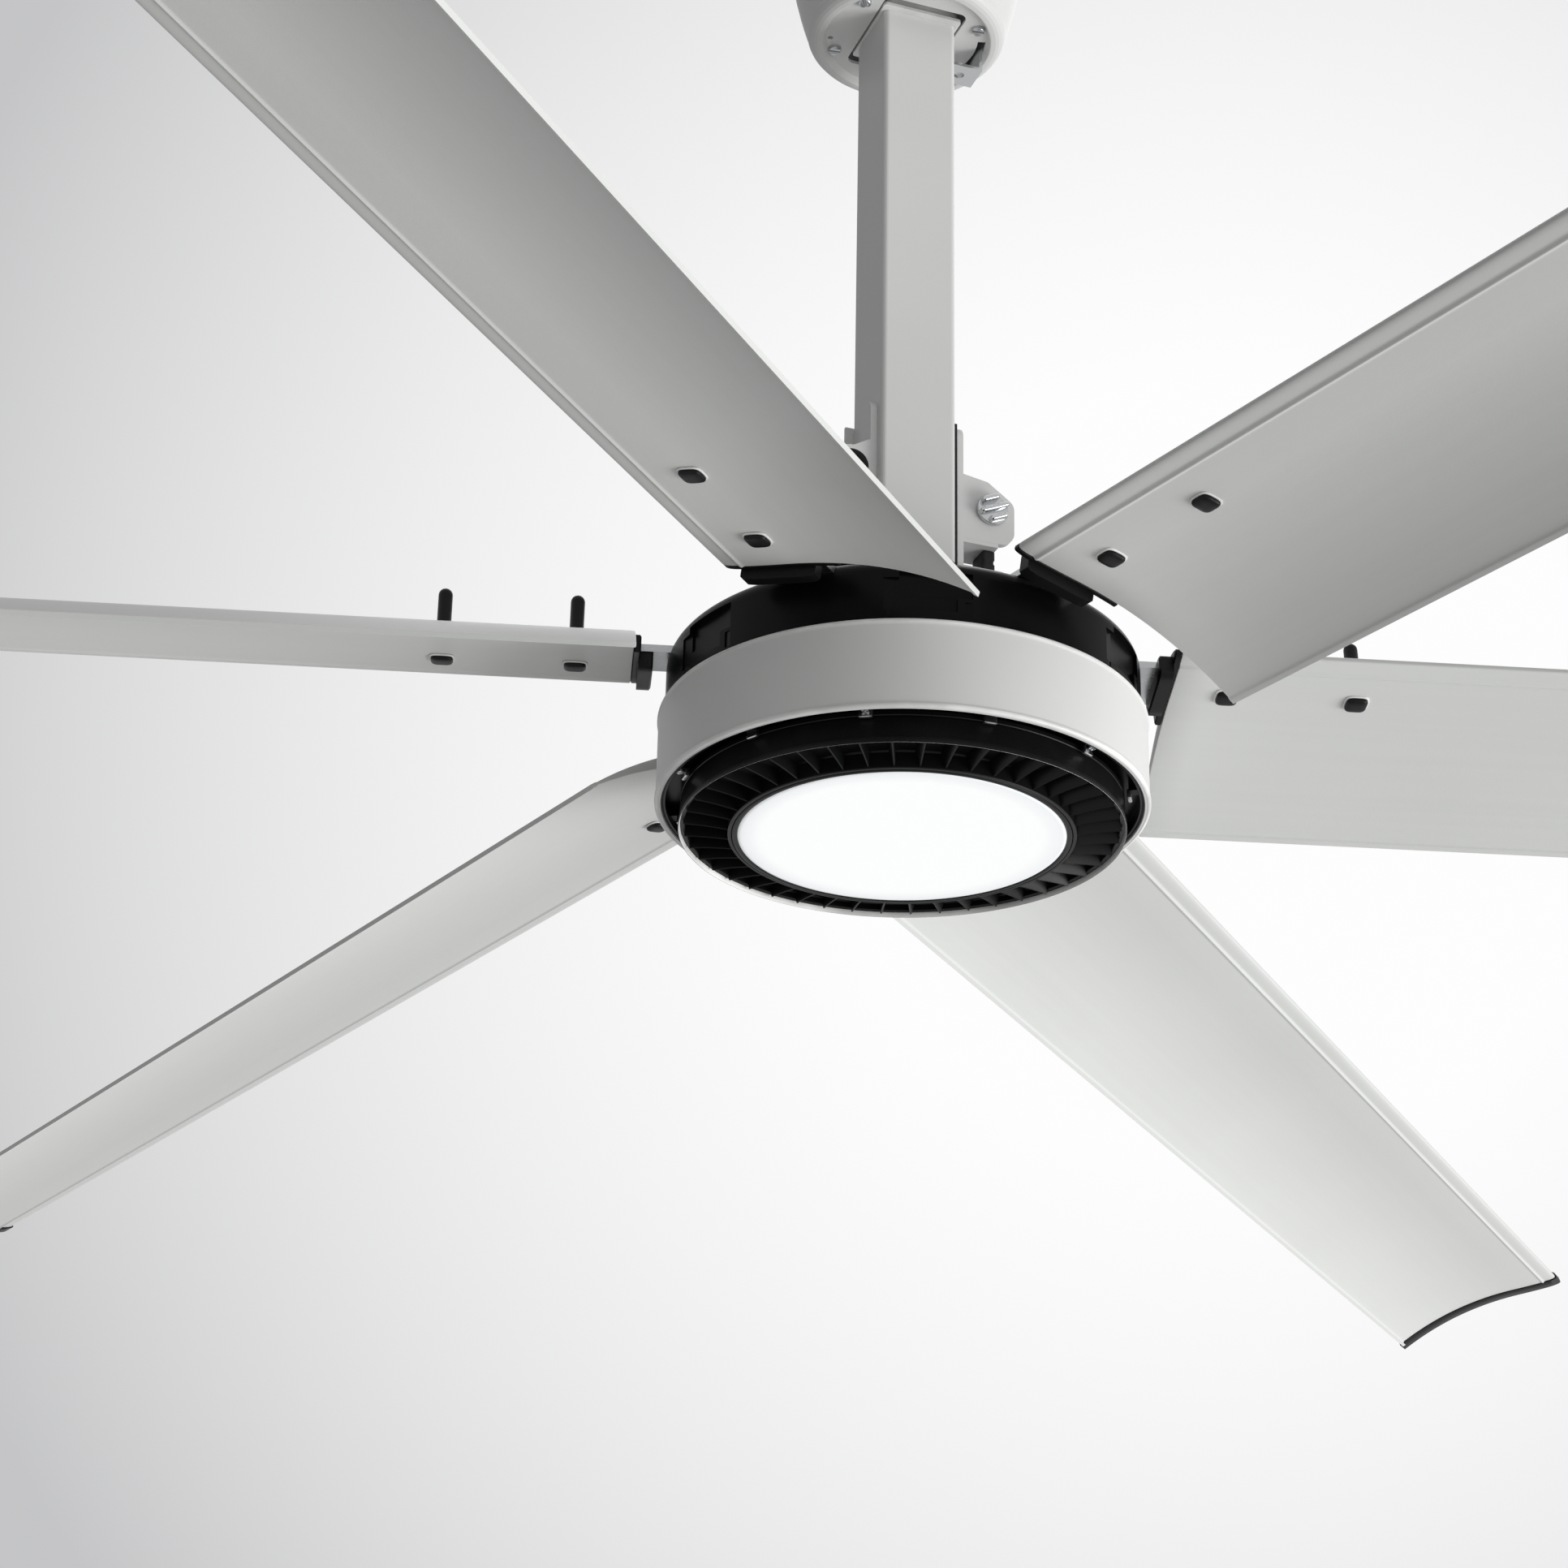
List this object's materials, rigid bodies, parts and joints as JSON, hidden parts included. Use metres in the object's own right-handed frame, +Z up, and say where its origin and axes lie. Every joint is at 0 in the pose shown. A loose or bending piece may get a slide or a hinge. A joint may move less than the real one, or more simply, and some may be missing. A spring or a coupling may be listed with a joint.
{
  "type": "industrial ceiling fan",
  "caption": "Large ceiling fan on a square drop tube with a flared canopy, wide aluminium blades, a white banded motor drum and a round light underneath.",
  "frame": {"origin": "centre of the ceiling plate's top face, in the middle of the four ceiling bolt holes", "axes": "+Z up towards the ceiling, along the drop tube; X along the hanger bolt"},
  "size_m": [2.6988, 2.6784, 0.6293],
  "materials": {
    "white_paint": "satin",
    "blade_paint": "satin",
    "white_plastic": "satin",
    "black_paint": "satin",
    "black_plastic": "matte",
    "zinc": "satin",
    "bright": "polished",
    "bearing_steel": "polished",
    "rubber": "matte",
    "lens": "diffuse, lit from behind",
    "core_steel": "stacked sheets",
    "copper": "enamelled",
    "board": "satin",
    "led_board": "satin",
    "magnet": "plated",
    "cast_alu": "cast",
    "block": "matte"
  },
  "bodies": {
    "ceiling_mount": {"ceiling_bracket": "zinc", "hanger_bolt": "zinc", "hanger_nut": "zinc", "canopy": "white_paint", "canopy_studs": "zinc", "canopy_screws": "zinc", "safety_strap": "bright", "terminal_block": "block"},
    "rod": {"drop_tube": "white_paint", "hanger_bushes": "rubber", "rod_collar": "white_plastic", "hook_bracket": "white_paint", "ear_bracket": "white_paint", "tongue_pads": "rubber", "eye_bush": "black_plastic", "cross_bolt": "bright", "yoke_nuts": "bright", "clamp_knob": "bright", "foot_bolts": "bright", "buffer_blocks": "rubber", "shaft_coupling": "black_paint", "hollow_shaft": "bearing_steel", "stator_hub": "cast_alu", "stator_core": "core_steel", "stator_coils": "copper", "driver_board": "board", "lower_bearing_inner": "bearing_steel", "upper_bearing_inner": "bearing_steel", "lamp_spacer": "zinc", "light_pan": "black_paint", "fin_ring": "black_plastic", "trim_edge": "white_plastic", "lens_bezel": "black_plastic", "lens": "lens", "led_board": "led_board", "light_screws": "zinc", "shaft_nut": "zinc"},
    "rotor": {"upper_cover": "black_paint", "lower_cover": "black_paint", "drum_band": "white_paint", "magnet_ring": "core_steel", "magnets": "magnet", "lower_bearing_outer": "bearing_steel", "upper_bearing_outer": "bearing_steel", "bearing_balls": "bearing_steel", "cover_screws": "zinc", "blade_arms": "zinc", "arm_screws": "zinc", "root_inserts": "black_plastic", "tip_caps": "black_plastic", "blade_bolts": "black_plastic", "bolt_caps": "black_plastic", "blade_1": "blade_paint", "blade_2": "blade_paint", "blade_3": "blade_paint", "blade_4": "blade_paint", "blade_5": "blade_paint", "blade_6": "blade_paint"}
  },
  "joints": [
    {"name": "hanger_swing", "type": "hinge", "parent": "ceiling_mount", "child": "rod", "pos_m": [0, 0, -0.045], "axis": [1, 0, 0], "range_deg": [-5, 5]},
    {"name": "rotor_spin", "type": "hinge", "parent": "rod", "child": "rotor", "pos_m": [0, 0, -0.5563], "axis": [0, 0, 1], "continuous": true}
  ]
}
